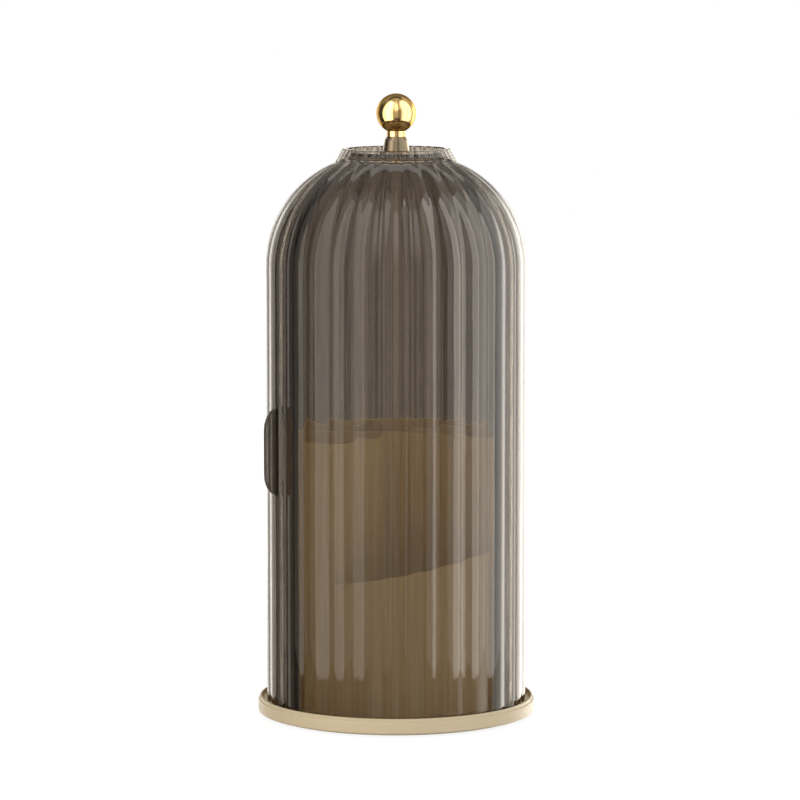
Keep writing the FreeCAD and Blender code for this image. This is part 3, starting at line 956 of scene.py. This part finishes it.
def finger_fin(name):
    root = door_inner + shell_wall / 2
    reach = door_radius + fin_reach - root
    low = door_bottom + fin_height
    high = low + fin_length
    along = Vector((math.cos(door_half), -math.sin(door_half), 0.0))
    out = Vector((-math.sin(door_half), -math.cos(door_half), 0.0))
    outline = []
    for side, level in ((-1, low + fin_corner), (1, high - fin_corner)):
        corner = []
        for step in range(corner_steps + 1):
            angle = math.pi / 2 * step / corner_steps
            rise = Vector((0.0, 0.0, level + side * fin_corner * math.cos(angle)))
            corner.append(out * (root + reach * math.sin(angle)) + rise)
        outline += corner if side < 0 else corner[::-1]
    return soften(prism(name, outline, along * fin_thickness), fin_round)


door_piece = sweep_section(
    "reeded_door", panel_section(), -door_half, 2 * door_half, smoked_plastic
)
hoop = sweep_section("hoop", hoop_section(), 0.0, math.tau, smoked_plastic)
combine(door_piece, hoop, "UNION")
combine(door_piece, finger_fin("fin"), "UNION")
smooth(clean(set_material(door_piece, smoked_plastic)), fin_sharp)
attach(door_piece, "door")
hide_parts("door_shell")
report(door_piece)

# %% [markdown]
# The cup keeps its CAD shape, but a moulded rim is never sharp. A copy of the mesh loses the
# needless edges inside its flat faces, and then a bevel can run along all the rims.

# %% Cup with rounded rims
rim_round = 0.55 * MM
flat_angle = math.radians(0.5)


def dissolve_flats(piece):
    """Merge doubles and remove the edges inside flat faces."""
    shape = bmesh.new()
    shape.from_mesh(piece.data)
    bmesh.ops.remove_doubles(shape, verts=shape.verts, dist=merge_distance)
    bmesh.ops.dissolve_limit(
        shape, angle_limit=flat_angle, verts=shape.verts, edges=shape.edges, delimit=set()
    )
    shape.to_mesh(piece.data)
    shape.free()
    return piece


cup_piece = link_mesh("rounded_cup", nodes["brush_cup"].data.copy())
soften(dissolve_flats(cup_piece), rim_round)
set_material(cup_piece, cream_plastic)
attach(cup_piece, "turntable")
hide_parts("brush_cup")
report(cup_piece)

# %% [markdown]
# The studio is plain: a pale floor that keeps a faint shadow, and a white world. The floor
# glows white for the camera, a little less near the holder, where the shadow shows. It stays
# out of gloss and plastic, which would mirror it as a bright line.

# %% Floor
floor_radius = 3.0
floor_segments = 96
floor_color = (0.86, 0.86, 0.86, 1.0)
floor_glow = 0.80
floor_white = 1.1
shadow_reach = 0.5
WHITE = (1.0, 1.0, 1.0, 1.0)


def make_floor_material():
    material, tree, surface = start_material("pale_floor")
    diffuse = add_node(tree, "ShaderNodeBsdfDiffuse", {"Color": floor_color})
    glow = add_node(tree, "ShaderNodeEmission", {"Color": WHITE, "Strength": floor_white})
    ray = add_node(tree, "ShaderNodeLightPath").outputs
    place = add_node(tree, "ShaderNodeTexCoord").outputs["Object"]
    reach = vector_node(tree, "LENGTH", place)["Value"]
    share = ramp(tree, reach, 0.0, shadow_reach, floor_glow, 1.0)
    amount = math_node(tree, "MULTIPLY", ray["Is Camera Ray"], share)
    mix = add_node(
        tree, "ShaderNodeMixShader", {0: amount, 1: diffuse.outputs[0], 2: glow.outputs[0]}
    )
    tree.links.new(mix.outputs[0], surface)
    return material


floor_mesh = bpy.data.meshes.new("floor")
shape = bmesh.new()
bmesh.ops.create_circle(shape, cap_ends=True, segments=floor_segments, radius=floor_radius)
shape.to_mesh(floor_mesh)
shape.free()
floor_mesh.materials.append(make_floor_material())
floor = link_mesh("floor", floor_mesh)
floor.visible_glossy = False
floor.visible_transmission = False
print("floor radius:", floor_radius)

# %% [markdown]
# Clear reeds only show where they have something to bend, so rays that have gone through the
# plastic see the white world with soft upright stripes in it. A world texture gives the
# direction of a ray: its X and Y make the angle round the holder, its Z the height.

# %% World: stripes for the plastic
stripe_count = 24
stripe_dark = 0.36
stripe_edge = (0.125, 0.45)
stripe_fade = (0.5, 0.9)


def make_stripes(tree, way, azimuth):
    """Upright stripes all round, which fade out overhead and below."""
    phase = math_node(tree, "MULTIPLY", azimuth, stripe_count / math.tau)
    dark = ramp(tree, math_node(tree, "PINGPONG", phase, 0.5), *stripe_edge, 0.0, 1.0)
    height = math_node(tree, "ABSOLUTE", way["Z"])
    depth = ramp(tree, height, *stripe_fade, 1.0 - stripe_dark, 0.0)
    return math_node(tree, "SUBTRACT", 1.0, math_node(tree, "MULTIPLY", dark, depth))


print("stripes:", stripe_count)

# %% [markdown]
# Gloss sees a dimmer, warmer room with a bright wall behind the holder: the gold keeps its
# colour and the sides of the dome get a lit edge. Two bright bars on the wall stand close to
# the edge on either side, and a dark flag on the far left keeps that side calm. Each limit
# below is a pair: where a step starts and ends, along one part of the direction.

# %% World: the room that gloss sees
front_mirror = 0.30
front_bar_half = math.radians(14.0)
front_bar_high = 1.6
front_bar_low = 0.25
front_bar_rise = (0.0, 0.7)
ceiling_share = 0.35
ceiling_edge = (0.83, 0.91)
back_mirror = 1.3
back_right_share = 2.6
back_right_edge = (0.1, 0.6)
back_stripe_share = 0.45
back_edge = (0.3, 0.6)
back_top = (0.1, 0.4)
bar_half_width = math.radians(3.5)
left_bar = (math.radians(-27.0), 3.2)
right_bar = (math.radians(29.0), 5.0)
ground_share = 0.15
ground_edge = (-0.6, -0.25)
flag_share = 0.2
flag_edge = (-0.88, -0.62)


def make_back_wall(tree, way, azimuth, stripes):
    """Striped wall, brighter on the right, with two bright bars."""
    side = ramp(tree, way["X"], *back_right_edge, back_mirror, back_mirror * back_right_share)
    wall = math_node(tree, "MULTIPLY", mix_value(tree, back_stripe_share, 1.0, stripes), side)
    for centre, radiance in (left_bar, right_bar):
        aside = math_node(tree, "ABSOLUTE", math_node(tree, "SUBTRACT", azimuth, centre))
        bar = ramp(tree, aside, bar_half_width / 2, bar_half_width, radiance, 0.0)
        wall = math_node(tree, "ADD", wall, bar)
    return wall


def make_front(tree, way, azimuth):
    """Dim room with a broad bar behind the camera and a darker ceiling."""
    ahead = math_node(tree, "SUBTRACT", math.pi, math_node(tree, "ABSOLUTE", azimuth))
    bar = ramp(tree, ahead, front_bar_half / 2, front_bar_half, 1.0, 0.0)
    bar_level = ramp(tree, way["Z"], *front_bar_rise, front_bar_low, front_bar_high)
    front = math_node(tree, "ADD", math_node(tree, "MULTIPLY", bar, bar_level), front_mirror)
    return math_node(
        tree, "MULTIPLY", front, ramp(tree, way["Z"], *ceiling_edge, 1.0, ceiling_share)
    )


def make_mirror_room(tree, way, azimuth, stripes):
    """What gloss shows all round: the wall behind, low down, and the front elsewhere."""
    behind = ramp(tree, way["Y"], *back_edge, 0.0, 1.0)
    low = ramp(tree, way["Z"], *back_top, 1.0, 0.0)
    share = math_node(tree, "MULTIPLY", behind, low)
    wall = make_back_wall(tree, way, azimuth, stripes)
    level = mix_value(tree, share, make_front(tree, way, azimuth), wall)
    ground = ramp(tree, way["Z"], *ground_edge, ground_share, 1.0)
    flag = ramp(tree, way["X"], *flag_edge, flag_share, 1.0)
    return math_node(tree, "MULTIPLY", level, math_node(tree, "MULTIPLY", ground, flag))


print("bars on the wall:", len((left_bar, right_bar)))

# %% [markdown]
# Light Path tells the rays apart, so one world can hold all of it: plain white for the
# camera, stripes for the plastic, the room for gloss, and an even fill for everything else.

# %% World
world_fill = 0.30
room_tint = (1.0, 0.96, 0.89, 1.0)


def make_world():
    world = bpy.data.worlds.new("white_studio")
    world.use_nodes = True
    tree = world.node_tree
    tree.nodes.clear()
    output = tree.nodes.new("ShaderNodeOutputWorld")
    ray = add_node(tree, "ShaderNodeLightPath").outputs
    direction = add_node(tree, "ShaderNodeTexCoord").outputs["Generated"]
    way = add_node(tree, "ShaderNodeSeparateXYZ", {0: direction}).outputs
    azimuth = math_node(tree, "ARCTAN2", way["X"], way["Y"])
    stripes = make_stripes(tree, way, azimuth)
    room = make_mirror_room(tree, way, azimuth, stripes)
    level = mix_value(tree, ray["Is Glossy Ray"], world_fill, room)
    level = mix_value(tree, ray["Is Transmission Ray"], level, stripes)
    level = mix_value(tree, ray["Is Camera Ray"], level, 1.0)
    tint = add_node(
        tree,
        "ShaderNodeMix",
        {0: ray["Is Glossy Ray"], 6: WHITE, 7: room_tint},
        data_type="RGBA",
    ).outputs[2]
    back = add_node(tree, "ShaderNodeBackground", {"Color": tint, "Strength": level})
    tree.links.new(back.outputs[0], output.inputs["Surface"])
    return world


scene.world = make_world()
print("world:", scene.world.name)

# %% [markdown]
# White panels stand upright on the floor, close by on the left and right of the camera.
# Each reed bends their image into an upright streak that ends where the panel ends. A
# panel's power follows from how bright it should look, so its size can change freely.

# %% Panels of light
plain_white = (1.0, 1.0, 1.0)
warm_white = (1.0, 0.94, 0.84)
panel_foot = -0.02
panel_top = 0.89


def area_lamp(name, shape, size, power, place, turn):
    """Area lamp that neither the camera nor a ray through the plastic sees."""
    data = bpy.data.lights.new(name, "AREA")
    data.shape = shape
    data.size = size
    data.energy = power
    lamp = bpy.data.objects.new(name, data)
    lamp.location = place
    lamp.rotation_euler = turn
    lamp.visible_camera = False
    lamp.visible_transmission = False
    scene.collection.objects.link(lamp)
    return lamp


def light_panel(name, azimuth, distance, width, bottom, top, radiance, color):
    """Upright panel that faces the axis."""
    turn = math.radians(azimuth)
    place = (distance * math.sin(turn), -distance * math.cos(turn), (bottom + top) / 2)
    power = radiance * math.pi * width * (top - bottom)
    lamp = area_lamp(name, "RECTANGLE", width, power, place, (math.pi / 2, 0.0, turn))
    lamp.data.size_y = top - bottom
    lamp.data.color = color
    return lamp


# Name: azimuth in degrees, distance, width, bottom, top, radiance, colour.
panels = {
    "left_panel": (-50.0, 0.33, 0.50, panel_foot, 1.3, 0.42, warm_white),
    "left_strip": (-48.0, 0.32, 0.20, panel_foot, panel_top, 1.2, warm_white),
    "right_panel": (66.0, 0.33, 0.50, panel_foot, panel_top, 0.75, plain_white),
    "right_strip": (60.0, 0.32, 0.14, panel_foot, panel_top, 2.5, warm_white),
    "right_glow": (100.0, 0.40, 0.50, -0.5, 0.6, 1.2, warm_white),
    "right_back_panel": (112.0, 0.40, 0.50, -0.5, 1.2, 0.35, warm_white),
}
lamps = {name: light_panel(name, *values) for name, values in panels.items()}
print("panels:", len(lamps))

# %% [markdown]
# Two round lamps, in front and behind, light the cup, the tray and the floor. They would
# show as discs in gloss, so gloss doesn't see them.

# %% Round lamps
holder_foot = (0.0, 0.0, 0.1)


def aimed_lamp(name, shape, size, power, place, aim):
    """Area lamp that looks at a point of the holder."""
    turn = (Vector(aim) - Vector(place)).to_track_quat("-Z", "Y").to_euler()
    return area_lamp(name, shape, size, power, place, turn)


for name, size, power, place in (
    ("front_lamp", 1.0, 4.6, (0.0, -1.1, 0.8)),
    ("back_lamp", 0.8, 4.0, (0.2, 1.1, 0.7)),
):
    lamps[name] = aimed_lamp(name, "DISK", size, power, place, holder_foot)
    lamps[name].visible_glossy = False
print("lamps so far:", len(lamps))

# %% [markdown]
# Light linking lets a lamp shine on some pieces alone. The ball has two panels of its own
# and a lamp above, a narrow lamp behind picks out the crown, and the right side of the dome
# gets a strip and a glow that would be too much for the tray.

# %% Lamps for some pieces alone
def link_light(name, sources, pieces):
    """Let some lamps shine on some pieces only."""
    group = bpy.data.collections.new(name)
    for piece in pieces:
        group.objects.link(piece)
    for lamp in sources:
        lamp.light_linking.receiver_collection = group


ball_place = (0.0, 0.0, 0.3)
crown_place = (0.0, 0.0, 0.28)
crown_depth = 0.16
knob_lamps = [
    light_panel("knob_left_panel", -52.0, 0.34, 0.42, 0.0, 1.2, 1.5, plain_white),
    light_panel("knob_right_panel", 68.0, 0.34, 0.38, 0.0, 1.2, 1.3, plain_white),
    aimed_lamp("knob_top_lamp", "DISK", 1.34, 1.8, (0.0, -0.4, 0.99), ball_place),
]
crown_lamp = aimed_lamp("crown_lamp", "RECTANGLE", 0.8, 0.30, (0.0, 0.34, 0.90), crown_place)
crown_lamp.data.size_y = crown_depth
link_light("knob_light", knob_lamps, [nodes["knob_ball"]])
link_light("crown_light", [crown_lamp], [rear_piece, door_piece])
link_light("strip_light", [lamps["right_strip"]], [rear_piece, door_piece, cup_piece])
link_light("glow_light", [lamps["right_glow"]], [rear_piece, door_piece])

# %% [markdown]
# Colours should come out as they were written, so the view transform is the plain one.

# %% Finish
scene.view_settings.view_transform = "Standard"
